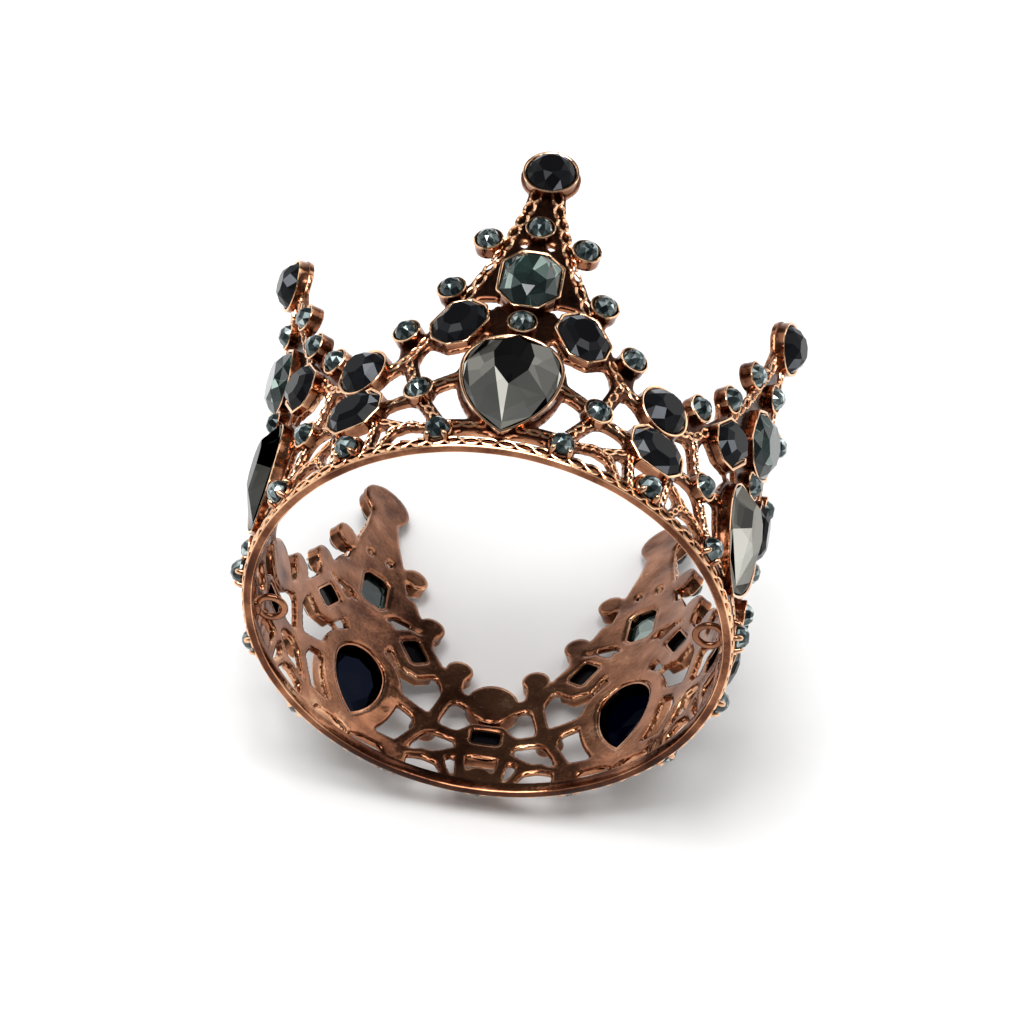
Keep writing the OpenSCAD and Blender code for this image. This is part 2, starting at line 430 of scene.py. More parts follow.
@dataclass(frozen=True)
class Seat:
    """One kind of place for a stone: where it sits, its outline, its setting and the net's pad."""

    u: float
    z: float
    outline: Outline
    rim: float
    pad: float
    turn: float = 0.0
    window: Outline | None = None
    window_up: float = 0.0
    both_sides: bool = False

    def places(self) -> list[tuple[float, float]]:
        """Place round the wall and turn of each one at a peak, right side first."""
        return [(self.u, self.turn)] + ([(-self.u, -self.turn)] if self.both_sides else [])


VALLEY_U = WALL.half_period
SMALL = Round(1.75, 24)
LARGE = Round(3.5, 40)
SLOPE = CutCorner(6.0, 8.0)
RIM, THIN_RIM = 0.45, 0.35
TIP_SEAT = Seat(0, 52.9, LARGE, RIM, 0.25)
PEAK_SEAT = Seat(0, 32.2, CutCorner(8.0, 10.0), RIM, 0.3, window=CutCorner(4.4, 6.4, 0.2))
PEAR_SEAT = Seat(0, 14.35, Pear(), RIM, 0.75, window=Pear(8.4, 11.12), window_up=0.5)
SLOPE_SEAT = Seat(8.0, 23.5, SLOPE, RIM, 0.65, 33, CutCorner(2.8, 4.2, 0.12), 0.5, True)
VALLEY_SEAT = Seat(VALLEY_U, 17.5, LARGE, RIM, 0.25)
UNDER_SEAT = Seat(VALLEY_U, 9.7, SLOPE, RIM, 0.3, 90, CutCorner(2.4, 4.2, 0.12), 0.8)


def small_seats(*places: tuple[float, float]) -> tuple[Seat, ...]:
    """Small round seats at those places, on both sides unless on the peak's or valley's middle."""
    return tuple(Seat(u, z, SMALL, THIN_RIM, 0.2, both_sides=0 < u < VALLEY_U) for u, z in places)


SMALL_SEATS = small_seats((0, 42.2), (0, 23.9), (6.2, 39.5), (9.9, 30.4), (15.1, 23.2), (11.75, 11.0))
FOOT_SEATS = small_seats((8.0, 2.7), (VALLEY_U, 2.7))
LARGE_SEATS = (TIP_SEAT, PEAK_SEAT, PEAR_SEAT, SLOPE_SEAT, VALLEY_SEAT, UNDER_SEAT)


@dataclass
class Settings:
    """The cups that hold the stones, swept round each stone's outline."""

    back: float = -0.4
    floor: float = 0.35
    rim_top: float = 1.6
    girdle: float = 1.15
    back_worn: float = 0.45
    swings: tuple[int, ...] = (2, 3, 5)
    swing: float = 0.018
    still: float = 0.9
    rising: float = 0.5
    seed: int = 7

    def profile(self, rim: float) -> list[tuple[float, float, float]]:
        """A cup's section from the back's edge to the floor's: growth, height, and the value of wear and
        painted shade.

        Args:
            rim: How far the cup's outside stands out past the stone.

        Returns:
            The section's rows.
        """
        # Under the stone the value falls to nothing, painted shade inside the cup; the rim's top is
        # brightest, as wear
        return [
            (rim - 0.2, self.back, 0.5), (rim - 0.06, self.back + 0.06, 0.6),
            (rim, self.back + 0.2, 0.5), (rim - 0.03, 0.35, 0.42), (rim - 0.04, 1.0, 0.46),
            (rim + 0.01, self.rim_top - 0.25, 0.55), (rim + 0.02, self.rim_top - 0.1, 0.9),
            (rim - 0.06, self.rim_top, 1.0), (rim - 0.2, self.rim_top + 0.02, 1.0),
            (0.07, self.rim_top - 0.1, 0.8), (0.04, self.girdle, 0.1), (0.04, self.floor, 0.0),
        ]

    def cup(self, seat: Seat) -> Surface:
        """One cup, flat, about its own middle.

        Each row of the profile is the stone's outline, grown, at a height. The back and the floor
        close at the middle, or run to a window's outline and meet there.

        Args:
            seat: The place whose cup is made.

        Returns:
            The cup in local coordinates.
        """
        rows = [(seat.outline.loop(g), w, v) for g, w, v in self.profile(seat.rim)]
        if seat.window is None:
            middle = 0 * rows[0][0]
            rows = ([(middle, self.back, self.back_worn), (rows[0][0] * 0.6, self.back, self.back_worn)]
                    + rows + [(middle, self.floor, 0.0)])
        else:
            t = math.radians(seat.turn)
            hole = seat.window.loop(0.0) + seat.window_up * np.array([math.sin(t), math.cos(t)])
            ledge = (hole * 2 + rows[0][0]) / 3
            rows = ([(hole, self.back + 0.04, 0.6), (ledge, self.back, self.back_worn)]
                    + rows + [(hole, self.floor, 0.1)])
        points = np.concatenate([np.c_[loop, np.full(len(loop), w)] for loop, w, _ in rows])
        wear_and_shade = np.concatenate([np.full(len(loop), v) for loop, _, v in rows])
        quads = grid_quads(len(rows), len(rows[0][0]), seat.window is not None, True)
        return Surface(points, quads, wear_and_shade).outward()

    def all(self) -> Surface:
        """Every cup of the crown.

        Returns:
            All cups as one surface.
        """
        rng = np.random.default_rng(self.seed)
        parts = []
        for seat in LARGE_SEATS + SMALL_SEATS:
            right = self.cup(seat)
            for k in range(PEAKS):
                for u, turn in seat.places():
                    cup = right if turn == seat.turn else mirrored(right)
                    points = WALL.flat(self.wobble(cup.points, rng), u, seat.z, turn)
                    parts.append(Surface(spun(points, k), cup.quads, cup.wear_and_shade))
        return Surface.joined(parts)

    def wobble(self, flat: np.ndarray, rng: np.random.Generator) -> np.ndarray:
        """Hand-cast unevenness: the rim's height swings by a few hundredths round the cup.

        The swing is a sum of sines of the angle, with phases by chance. It grows from nothing at
        the height where the cup is still to its full size at the end of the rise.

        Args:
            flat: The cup's points, about its own middle.
            rng: Where the phases are drawn.

        Returns:
            The points, moved.
        """
        phase = rng.uniform(0, 2 * math.pi, len(self.swings))
        a = np.arctan2(flat[:, 1], flat[:, 0])
        swing = sum(np.sin(n * a + p) for n, p in zip(self.swings, phase)) * self.swing
        out = flat.copy()
        out[:, 2] += np.clip((flat[:, 2] - self.still) / self.rising, 0, 1) * swing
        return out


@dataclass
class Foot:
    """The pegs and bent claws that carry the stones at the foot."""

    claws: tuple[tuple[float, float, float], ...] = (
        (-1.25, -1.45, 1.0), (1.25, -1.45, 1.0), (-1.5, 1.2, 0.7), (1.5, 1.2, 0.7))
    claw: float = 0.44
    claw_foot: float = -0.2
    claw_tall: float = 2.35
    lean: float = 0.88
    bend: float = 0.45
    bend_power: float = 1.5
    tip: float = 0.72
    claw_thick: tuple[float, float] = (1.12, 0.92)
    claw_worn: tuple[float, float] = (0.25, 1.0)
    claw_sides: int = 10
    claw_steps: int = 9
    section: tuple[tuple[float, float, float], ...] = (
        (0.0, -0.4, 0.4), (1.1, -0.4, 0.4), (1.8, -0.36, 0.5), (1.95, -0.15, 0.4),
        (1.92, 0.3, 0.2), (1.86, 0.8, 0.5), (1.7, 0.95, 0.8), (1.5, 0.9, 0.3), (0.0, 0.5, 0.0))
    sides: int = 28

    def peg(self) -> Surface:
        """A low round seat below the stone: its section's radius, height and value of wear and painted
        shade, turned.

        Returns:
            The peg in local coordinates.
        """
        around = circle(turn_of(self.sides))
        points = np.concatenate([np.c_[around * r, np.full(self.sides, w)] for r, w, _ in self.section])
        wear_and_shade = np.repeat([v for _, _, v in self.section], self.sides)
        return Surface(points, grid_quads(len(self.section), self.sides, False, True), wear_and_shade).outward()

    def bent(self, x: float, y: float, size: float) -> Surface:
        """A claw: a round post that rises beside the stone and bends over its edge.

        Past the bend the post moves inward by a power of its height. It thins a little all the
        way, and from the tip's start it closes as a quarter circle.

        Args:
            x: Where the claw stands, from the stone's middle.
            y: The same, upward.
            size: The claw's share of full size; height and thickness follow its root.

        Returns:
            The claw in local coordinates.
        """
        t = np.linspace(0, 1, self.claw_steps)
        inward = np.array([-x, -y]) / math.hypot(x, y)
        lean = self.lean * np.clip(t - self.bend, 0, 1) ** self.bend_power
        rise = self.claw_foot + self.claw_tall * size ** 0.5 * t
        spine = np.c_[x + inward[0] * lean, y + inward[1] * lean, rise]
        past = ((t - self.tip) / (1 - self.tip)).clip(0, 1)
        thick = self.claw * size ** 0.5 * np.sqrt(1 - past ** 2) * np.interp(t, (0, 1), self.claw_thick)
        thick[0] = 0.0
        return tube(spine, thick, self.claw_sides, np.interp(t, (0, 1), self.claw_worn))

    def all(self) -> Surface:
        """Every peg and claw of the crown.

        Returns:
            All feet as one surface.
        """
        local = Surface.joined([self.peg()] + [self.bent(*claw) for claw in self.claws])
        parts = []
        for seat in FOOT_SEATS:
            for u, turn in seat.places():
                parts.append(Surface(WALL.flat(local.points, u, seat.z, turn), local.quads, local.wear_and_shade))
        return round_the_crown(Surface.joined(parts))


def tube(spine: np.ndarray, thick: np.ndarray, sides: int, wear_and_shade: np.ndarray) -> Surface:
    """A round tube carried along a path.

    At each point of the path a circle stands square on the path's direction; its size follows
    thick, and a size of nothing at an end closes it.

    Args:
        spine: Points of the path, one a row.
        thick: The tube's radius at each point.
        sides: Points round the tube.
        wear_and_shade: The value of wear and painted shade at each point.

    Returns:
        The tube's surface.
    """
    # The circle's sides are measured against the upright, or against x where the path is upright
    along = np.gradient(spine, axis=0)
    along /= np.linalg.norm(along, axis=1, keepdims=True)
    guide = np.where(np.abs(along[:, 2:3]) > 0.9, np.array([[1.0, 0, 0]]), np.array([[0, 0, 1.0]]))
    side = np.cross(along, guide)
    side /= np.linalg.norm(side, axis=1, keepdims=True)
    up = np.cross(side, along)
    a = turn_of(sides)
    ring = side[:, None] * np.cos(a)[:, None] + up[:, None] * np.sin(a)[:, None]
    points = (spine[:, None] + ring * thick[:, None, None]).reshape(-1, 3)
    quads = grid_quads(len(spine), sides, False, True)
    return Surface(points, quads, np.repeat(wear_and_shade, sides)).outward()


@dataclass(frozen=True)
class Strut:
    """One strut of the net, straight on the wall, from one place to another."""

    u0: float
    z0: float
    u1: float
    z1: float
    wide: float = 0.0
    eyes: float = 0.0

    @property
    def length(self) -> float:
        """The strut's length on the wall."""
        return math.hypot(self.u1 - self.u0, self.z1 - self.z0)


# Half a peak: from, to, width, and the width of the row of eyes on it. Strands have eyes alone.
STRUTS = (
    Strut(6.0, 33.5, 7.7, 29.6, 2.2), Strut(9.9, 29.4, 9.5, 27.0, 2.2),
    Strut(12.2, 21.9, 14.6, 18.3, 2.2, 1.5), Strut(15.0, 22.0, 14.8, 17.6, 2.4),
    Strut(14.5, 18.4, 12.7, 12.6, 2.0, 1.3), Strut(10.4, 12.2, 6.4, 13.9, 2.3, 1.4),
    Strut(11.3, 9.6, 8.6, 5.2, 1.9, 1.3), Strut(6.9, 4.2, 1.8, 4.2, 2.6, 1.2),
    Strut(9.6, 4.1, 12.3, 5.0, 1.4, 1.1), Strut(12.1, 5.0, 14.8, 4.6, 1.4, 1.1),
    Strut(14.5, 4.9, 16.6, 1.1, 1.3, 1.0), Strut(13.6, 5.0, 16.8, 6.9, 1.6, 1.1),
    Strut(17.3, 17.0, 14.1, 18.7, 2.2, 1.4), Strut(16.9, 9.9, 13.3, 10.5, 2.0, 1.3),
    Strut(17.5, 7.0, 18.2, 1.1, 1.6, 1.1),
)
STRANDS = (
    Strut(1.05, 50.0, 2.2, 45.2, eyes=1.8), Strut(2.2, 45.2, 4.3, 38.2, eyes=1.8),
    Strut(4.3, 38.2, 6.1, 33.4, eyes=1.7), Strut(6.1, 33.4, 8.2, 28.4, eyes=1.6),
)


@dataclass
class Net:
    """The cast sheet between the settings, as a distance field on the wall.

    The field is the distance to the nearest strut or pad, blended softly where they meet, with the
    windows and holes taken out. The sheet covers every grid cell that the field reaches, and the
    points just outside are drawn in onto its edge.

    The spire is the sheet of a peak's upper half, and the plate fills in between the peak stone and
    the pear: its edge is given by its widest place, that place's height and its slope. The rail runs
    round above the base, and is given by its middle height and half its own. A small round hole goes
    through on each side of the peak's middle.
    """

    columns_half: int = 61
    rows: int = 163
    bottom: float = 0.9
    top: float = 56.6
    blend: float = 0.3
    blend_share: float = 0.8
    inner: float = -0.55
    outer: float = 0.5
    edge: float = 0.3
    round_by: float = 0.5
    spire_z: tuple[float, ...] = (27.5, 30, 35.5, 41, 45.5, 50.5, 53)
    spire_u: tuple[float, ...] = (7.3, 6.9, 5.3, 4.0, 2.8, 2.2, 2.2)
    spire_ends: tuple[float, float] = (29.0, 51.0)
    spire_square: float = 0.95
    plate: tuple[float, float, float] = (5.2, 24.6, 0.45)
    plate_ends: tuple[float, float] = (19.5, 27.6)
    rail: tuple[float, float] = (1.25, 0.45)
    window_grow: float = 0.25
    hole: tuple[float, float] = (1.75, 39.7)
    hole_radius: float = 0.5
    hole_flat: float = 0.75
    outside: float = -0.02
    least_slope: float = 0.5
    cells_drawn: float = 1.5
    # Flat value and edge brightening of each face: the outer face's low value is painted shade, the inner
    # face's higher one is painted light; brighter edges are wear
    outer_shade_and_wear: tuple[float, float] = (0.17, 0.36)
    inner_light_and_wear: tuple[float, float] = (0.47, 0.16)
    edge_out: float = 0.25
    edge_in: float = 0.3

    @staticmethod
    def strut(u: np.ndarray, z: np.ndarray, s: Strut) -> np.ndarray:
        """Distance to a strut's outline: nearest point of its middle line, less half its width.

        Args:
            u: Place round the wall.
            z: Height.
            s: The strut.

        Returns:
            The signed distance, in mm.
        """
        du, dz = s.u1 - s.u0, s.z1 - s.z0
        t = np.clip(((u - s.u0) * du + (z - s.z0) * dz) / (du * du + dz * dz), 0, 1)
        return np.hypot(u - s.u0 - t * du, z - s.z0 - t * dz) - s.wide / 2

    @staticmethod
    def away(u: np.ndarray, z: np.ndarray, seat: Seat, shape: Outline, up: float = 0.0) -> np.ndarray:
        """Distance from an outline that lies at a seat: the place is turned into its drawing.

        Args:
            u: Place round the wall.
            z: Height.
            seat: The seat, for its place and turn.
            shape: The outline, of the stone or of the window behind it.
            up: How far above the seat's middle the outline lies.

        Returns:
            The signed distance, in mm.
        """
        t = math.radians(seat.turn)
        du, dz = u - seat.u, z - seat.z - up
        return shape.distance(du * math.cos(t) + dz * math.sin(t), dz * math.cos(t) - du * math.sin(t))

    def field(self, u: np.ndarray, z: np.ndarray) -> np.ndarray:
        """Distance to the net's outline over half a peak, below nothing inside.

        Args:
            u: Place round the wall, from the peak's middle to the valley's.
            z: Height.

        Returns:
            The signed distance, in mm.
        """
        parts = [self.strut(u, z, s) for s in STRUTS]
        spire = (u - np.interp(z, self.spire_z, self.spire_u)) * self.spire_square
        plate_u, plate_z, slope = self.plate
        plate = u - plate_u + np.abs(z - plate_z) * slope
        for side, (low, high) in ((spire, self.spire_ends), (plate, self.plate_ends)):
            parts.append(np.maximum(np.maximum(side, z - high), low - z))
        parts += [self.away(u, z, s, s.outline) - s.pad for s in LARGE_SEATS + SMALL_SEATS + FOOT_SEATS]
        parts.append(np.abs(z - self.rail[0]) - self.rail[1])
        stack = np.stack(parts)
        least = stack.min(axis=0)
        crowd = np.exp((least - stack) / self.blend).sum(axis=0)
        solid = least - self.blend * np.log(crowd) * self.blend_share
        for s in LARGE_SEATS:
            if s.window is not None:
                window = self.away(u, z, s, s.window, s.window_up) - self.window_grow
                solid = np.maximum(solid, -window)
        hole = np.hypot(u - self.hole[0], (z - self.hole[1]) * self.hole_flat) - self.hole_radius
        return np.maximum(solid, -hole)

    def surface(self) -> Surface:
        """The whole net, inside, outside and edges.

        Half a peak's field is folded out round the crown. A point's offset from the wall's middle
        rises from the edge as a quarter circle of its depth below the outline, and it is more worn
        the nearer it is to the edge. The outer face is painted dark, as shade in the recesses between
        wires and settings, and the inner face is painted lighter, as light falling on it.

        Returns:
            The sheet as a closed surface.
        """
        u_half = np.linspace(0, WALL.half_period, self.columns_half + 1)
        z_line = np.linspace(self.bottom, self.top, self.rows)
        half = self.field(*np.meshgrid(u_half, z_line))
        columns = 2 * PEAKS * self.columns_half
        fold = np.arange(columns) % (2 * self.columns_half)
        fold = np.where(fold > self.columns_half, 2 * self.columns_half - fold, fold)
        field = half[:, fold]
        step_u, step_z = u_half[1], z_line[1] - z_line[0]
        slope_u = (np.roll(field, -1, axis=1) - np.roll(field, 1, axis=1)) / (2 * step_u)
        slope_z = np.gradient(field, step_z, axis=0)
        size = np.maximum(slope_u ** 2 + slope_z ** 2, self.least_slope ** 2)
        reach = np.clip(field, 0, self.cells_drawn * max(step_u, step_z))
        u = np.arange(columns) * step_u - reach * slope_u / size
        z = z_line[:, None] - reach * slope_z / size
        cells = grid_quads(self.rows, columns, False, True)
        met = (field.ravel()[cells] < self.outside).any(axis=1).reshape(self.rows - 1, columns)
        used = cells[self.without_corner_touch(met).ravel()]
        depth = np.clip(-field, 0, None)
        rise = np.sqrt(1 - (1 - np.clip(depth / self.round_by, 0, 1)) ** 2)
        outer = self.edge + (self.outer - self.edge) * rise
        inner = -self.edge + (self.inner + self.edge) * rise
        points = np.concatenate([WALL.curved(u, z, outer).reshape(-1, 3),
                                 WALL.curved(u, z, inner).reshape(-1, 3)])
        wear_and_shade = np.concatenate([
            (flat + brightening * np.clip(1 - depth / width, 0, 1)).ravel()
            for (flat, brightening), width in ((self.outer_shade_and_wear, self.edge_out), (self.inner_light_and_wear, self.edge_in))])
        total = self.rows * columns
        rims = self.rim_quads(used, total)
        quads = np.concatenate([used, used[:, ::-1] + total, rims])
        kept, back = np.unique(quads, return_inverse=True)
        return Surface(points[kept], back.reshape(quads.shape), wear_and_shade[kept]).outward()

    @staticmethod
    def without_corner_touch(met: np.ndarray) -> np.ndarray:
        """Takes in one more cell wherever two of them would touch at a corner alone.

        Args:
            met: Which cells of the grid the sheet covers.

        Returns:
            The same, with those cells added.
        """
        low, high = met[:-1], met[1:]
        low_next, high_next = np.roll(low, -1, axis=1), np.roll(high, -1, axis=1)
        rising = low & high_next & ~low_next & ~high
        falling = low_next & high & ~low & ~high_next
        more = met.copy()
        more[1:] |= rising
        more[:-1] |= falling
        return more

    @staticmethod
    def rim_quads(used: np.ndarray, total: int) -> np.ndarray:
        """Side walls: an edge that only one cell has is joined to its partner on the inside.

        Args:
            used: The cells of the outer side, by their point numbers.
            total: How many points the outer side has; the inner ones follow.

        Returns:
            The quads of the side walls.
        """
        start, end = used.ravel(), np.roll(used, -1, axis=1).ravel()
        low, high = np.minimum(start, end), np.maximum(start, end)
        _, back, count = np.unique(low * total + high, return_inverse=True, return_counts=True)
        alone = count[back.reshape(-1)] == 1
        a, b = start[alone], end[alone]
        return np.stack([b, a, a + total, b + total], axis=1)


@dataclass
class Filigree:
    """Wires raised on the struts and round the base, in pairs that meet and part in pointed eyes."""

    pinch: float = 0.09
    wire: float = 0.155
    eye: float = 1.5
    height: float = 0.55
    pointed: float = 0.8
    swell: float = 0.15
    sides: int = 7
    steps: int = 10
    wear_and_shade: float = 0.95
    band_z: float = 0.95
    band_out: float = 0.62
    band_eyes: int = 90
    band_wide: float = 0.52
    band_pinch: float = 0.06
    band_pointed: float = 0.75
    band_wire: float = 0.23

    def pair(self, s: Strut) -> list[Surface]:
        """Two wires along a strut: their distance from its middle is a row of sine arches.

        Args:
            s: The strut, whose eyes are measured in its own width of eyes.

        Returns:
            Both wires, closed at their ends.
        """
        count = max(1, round(s.length / (s.eyes * self.eye)))
        t = np.linspace(0, 1, self.steps * count + 1)
        du, dz = (s.u1 - s.u0) / s.length, (s.z1 - s.z0) / s.length
        arch = np.abs(np.sin(math.pi * count * t)) ** self.pointed
        swing = s.eyes * (self.pinch + (0.5 - self.wire - self.pinch) * arch)
        thick = s.eyes * self.wire * (1.0 + self.swell * np.cos(2 * math.pi * count * t))
        thick[[0, -1]] = 0.0
        parts = []
        for side in (-1, 1):
            u = s.u0 + du * s.length * t - dz * swing * side
            z = s.z0 + dz * s.length * t + du * swing * side
            spine = WALL.curved(u, z, np.full_like(t, self.height))
            parts.append(tube(spine, thick, self.sides, np.full_like(t, self.wear_and_shade)))
        return parts

    def all(self) -> Surface:
        """The wires on every strut and strand of the crown."""
        half = Surface.joined([w for s in STRUTS + STRANDS if s.eyes > 0 for w in self.pair(s)])
        return round_the_crown(Surface.joined([half, mirrored(half)]))

    def round_band(self) -> Surface:
        """The row of eyes round the base band: two closed wires that swing apart by sine arches.

        Returns:
            Both wires.
        """
        a = turn_of(self.band_eyes * self.steps)
        arch = np.abs(np.sin(self.band_eyes * a / 2)) ** self.band_pointed
        swing = self.band_pinch + self.band_wide * arch
        parts = []
        for side in (-1, 1):
            spine = WALL.curved(a * WALL.mid, self.band_z + side * swing, np.full_like(a, self.band_out))
            parts.append(self.ring(spine))
        return Surface.joined(parts)

    def ring(self, spine: np.ndarray) -> Surface:
        """A closed wire round the crown: a circle carried along, in planes through the axis.

        Args:
            spine: The wire's middle line, all round.

        Returns:
            The wire.
        """
        out = spine * np.array([1, 1, 0])
        out /= np.linalg.norm(out, axis=1, keepdims=True)
        a = turn_of(self.sides)
        lift = np.cos(a)[:, None] * out[:, None] + np.sin(a)[:, None] * np.array([0, 0, 1.0])
        points = (spine[:, None] + self.band_wire * lift).reshape(-1, 3)
        quads = grid_quads(len(spine), self.sides, True, True)
        return Surface(points, quads, np.full(len(points), self.wear_and_shade)).outward()


@dataclass
class Band:
    """The base ring, turned round the axis, with a shallow channel behind the eyes."""

    inner: float = 32.3
    steps: int = 360
    # The channel behind the eyes, the rows at 1.05 out, gets a value of nothing: painted shade in the
    # recess
    section: tuple[tuple[float, float, float], ...] = (
        (0.0, 0.25, 0.5), (0.12, 0.03, 0.8), (0.3, 0.0, 0.3), (1.05, 0.0, 0.26), (1.22, 0.05, 0.7),
        (1.3, 0.2, 1.0), (1.22, 0.34, 0.5), (1.05, 0.42, 0.0), (1.05, 1.5, 0.0), (1.2, 1.6, 0.5),
        (1.2, 1.74, 0.8), (1.05, 1.8, 0.5), (0.2, 1.8, 0.3), (0.03, 1.7, 0.6), (0.0, 1.5, 0.5))
    waves: tuple[int, ...] = (5, 11, 17, 29)
    below: float = 1.4
    uneven_high: float = 0.03
    uneven_worn: float = 0.22
    # Painted light and shade: how much lighter the band is at its front, on top as the crown lies, and
    # darker at its back by the floor
    brightening: float = 0.2

    def surface(self) -> Surface:
        """The band: its section's distance out, height and value of wear and painted shade, turned round
        the axis.

        A sum of sines moves the lower rows up and down. The same sum, turned on by a fifth of the
        way round, changes how worn the band is. A cosine that is highest at the front, the band's top
        as the crown lies, paints light on the top and shade low down by the floor.

        Returns:
            The band.
        """
        a = turn_of(self.steps)
        table = np.array(self.section)
        radius = self.inner + table[:, 0]
        uneven = sum(np.sin(n * a + n * n) for n in self.waves) / len(self.waves)
        height = table[:, 1:2] + self.uneven_high * uneven * (table[:, 1:2] < self.below)
        brightening = self.brightening * np.cos(a) + self.uneven_worn * np.roll(uneven, self.steps // 5)
        wear_and_shade = np.clip(table[:, 2:] + brightening, 0, 1)
        points = np.stack([np.outer(radius, np.sin(a)), -np.outer(radius, np.cos(a)), height], axis=-1)
        quads = grid_quads(len(table), self.steps, True, True)
        return Surface(points.reshape(-1, 3), quads, wear_and_shade.ravel()).outward()


# Where the two eyelets are, in degrees round the base from the front
EYELETS = (-97, 86)


@dataclass
class Eyelet:
    """A flattened wire ring soldered inside the base band, for a comb or a pin."""

    degrees: float
    radius: float = 1.9
    wire_wide: float = 0.55
    wire_high: float = 0.42
    z: float = 2.6
    inner: float = 32.3
    wear_and_shade: float = 0.42
    drop_long: float = 1.3
    drop_thick: float = 0.62
    drop_z: float = -0.35

    def surface(self) -> Surface:
        """The ring and its drop of solder, turned to their place inside the base.

        Returns:
            Both, on the upright crown.
        """
        made = Surface.joined([self.ring(), self.solder()])
        turn = math.radians(self.degrees)
        c, s = math.cos(turn), math.sin(turn)
        points = made.points + np.array([0, -(self.inner - self.radius), self.z])
        return Surface(points @ np.array([[c, -s, 0], [s, c, 0], [0, 0, 1]]).T, made.quads, made.wear_and_shade)

    def ring(self) -> Surface:
        """A ring about its own middle: a flat oval carried round a circle.

        Returns:
            The ring.
        """
        big, small = 48, 14
        aa, bb = np.meshgrid(turn_of(big), turn_of(small), indexing="ij")
        r = self.radius + self.wire_wide * np.cos(bb)
        points = np.stack([r * np.cos(aa), r * np.sin(aa), self.wire_high * np.sin(bb)], axis=-1)
        wear_and_shade = np.full(big * small, self.wear_and_shade)
        return Surface(points.reshape(-1, 3), grid_quads(big, small, True, True), wear_and_shade).outward()

    def solder(self) -> Surface:
        """A drop that runs along the wall under the ring: an ellipse turned about its long way.

        Returns:
            The drop, about the ring's middle.
        """
        t = np.linspace(0, math.pi, 11)
        spine = np.c_[-self.drop_long * np.cos(t), np.full_like(t, -self.radius), self.drop_z + 0 * t]
        thick = self.drop_thick * np.sin(t)
        thick[[0, -1]] = 0.0
        return tube(spine, thick, 12, np.full_like(t, self.wear_and_shade))


@dataclass(frozen=True)
class Cut:
    """How a stone is cut: the heights and sizes of its levels, in the setting's own measure.

    The crown of a stone runs from the girdle over a row of star and kite facets to the table. The
    back runs in to a small flat face. Sizes are shares of the girdle's own, heart is the place of
    a fan's point as a share of the table's size.
    """

    table: float
    table_high: float
    middle: float
    middle_high: float
    girdle_low: float = 1.2
    girdle_high: float = 1.48
    back: float = 0.5
    back_high: float = 0.45
    table_up: float = 0.0
    table_tall: float = 1.0
    table_tone: float = 0.0
    heart: float = 0.3
    stepped: bool = False
    fan: bool = False

    def levels(self, girdle: np.ndarray) -> np.ndarray:
        """The stone's points: back, both girdle lines, middle line, table and heart, in this order.

        Args:
            girdle: Sixteen outline points, counter-clockwise, with the corners first.

        Returns:
            Points of the levels, in local coordinates.
        """
        corner, between = girdle[0::2], girdle[1::2]
        shift = np.array([0.0, self.table_up])
        table = np.array([self.table, self.table * self.table_tall])
        middle = corner if self.stepped else between
        rings = [(corner * self.back, self.back_high),
                 (girdle, self.girdle_low), (girdle, self.girdle_high),
                 (middle * self.middle + shift / 2, self.middle_high),
                 (corner * table + shift, self.table_high),
                 (shift[None] + table * self.heart, self.table_high)]
        return np.concatenate([np.c_[ring, np.full(len(ring), w)] for ring, w in rings])

    def facets(self) -> list[list[int]]:
        """The facets: back, pavilion, girdle, crown and table last.

        Where the back's facets show through the table, it is a fan of flat triangles instead.

        Returns:
            Lists of the numbers that levels gives its points.
        """
        back, low, high, middle, table, heart = 0, 8, 24, 40, 48, 56
        faces = [list(range(7, -1, -1))]
        for i in range(8):
            n, before, a, b, c = (i + 1) % 8, (i - 1) % 8, 2 * i, 2 * i + 1, (2 * i + 2) % 16
            faces += [[low + a, low + b, back + i], [low + b, low + c, back + n],
                      [low + b, back + n, back + i],
                      [low + a, high + a, high + b, low + b], [low + b, high + b, high + c, low + c],
                      [high + a, middle + i, high + b]]
            if self.stepped:
                faces += [[high + b, middle + n, high + c], [high + b, middle + i, middle + n],
                          [middle + i, table + i, table + n, middle + n]]
            else:
                faces += [[high + b, middle + i, high + c], [table + i, table + n, middle + i],
                          [table + i, middle + i, high + a, middle + before]]
        rim = [table + i for i in range(8)]
        if self.fan:
            return faces + [[a, b, heart] for a, b in zip(rim, rim[1:] + rim[:1])]
        return faces + [rim]


@dataclass(frozen=True)
class StoneKind:
    """One kind of stone: its CAD nodes' name, seat, cut and finish."""

    node: str
    seat: Seat
    cut: Cut
    finish: Finish

    def places(self) -> list[tuple[str, float, float, int]]:
        """Node name, place round the wall, turn and peak number of each stone of this kind."""
        spots = [(u, turn, k) for k in range(PEAKS) for u, turn in self.seat.places()]
        return [(f"{self.node}_{i + 1}", *spot) for i, spot in enumerate(spots)]


ROUND_CUT = Cut(0.52, 3.35, 0.8, 2.6)
STEP_CUT = Cut(0.52, 2.95, 0.78, 2.45, stepped=True)
SMALL_CUT = Cut(0.4, 2.75, 0.76, 2.3, fan=True)
STONES = (
    StoneKind("tip_stone", TIP_SEAT, ROUND_CUT, Finish.BLACK),
    StoneKind("peak_stone", PEAK_SEAT, Cut(0.58, 3.3, 0.84, 2.45, fan=True), Finish.TEAL),
    StoneKind("pear_stone", PEAR_SEAT, Cut(0.42, 3.35, 0.95, 1.7, table_up=1.2, table_tall=1.22,
                                             table_tone=0.19, stepped=True), Finish.MIRROR),
    StoneKind("valley_stone", VALLEY_SEAT, ROUND_CUT, Finish.BLACK),
    StoneKind("under_stone", UNDER_SEAT, STEP_CUT, Finish.BLACK),
    StoneKind("slope_stone", SLOPE_SEAT, STEP_CUT, Finish.BLACK),
)
# Pears painted darker than the others, as painted shade, by the share of its value that each facet keeps
SHADES = {"pear_stone_2": 0.75, "pear_stone_5": 0.4}


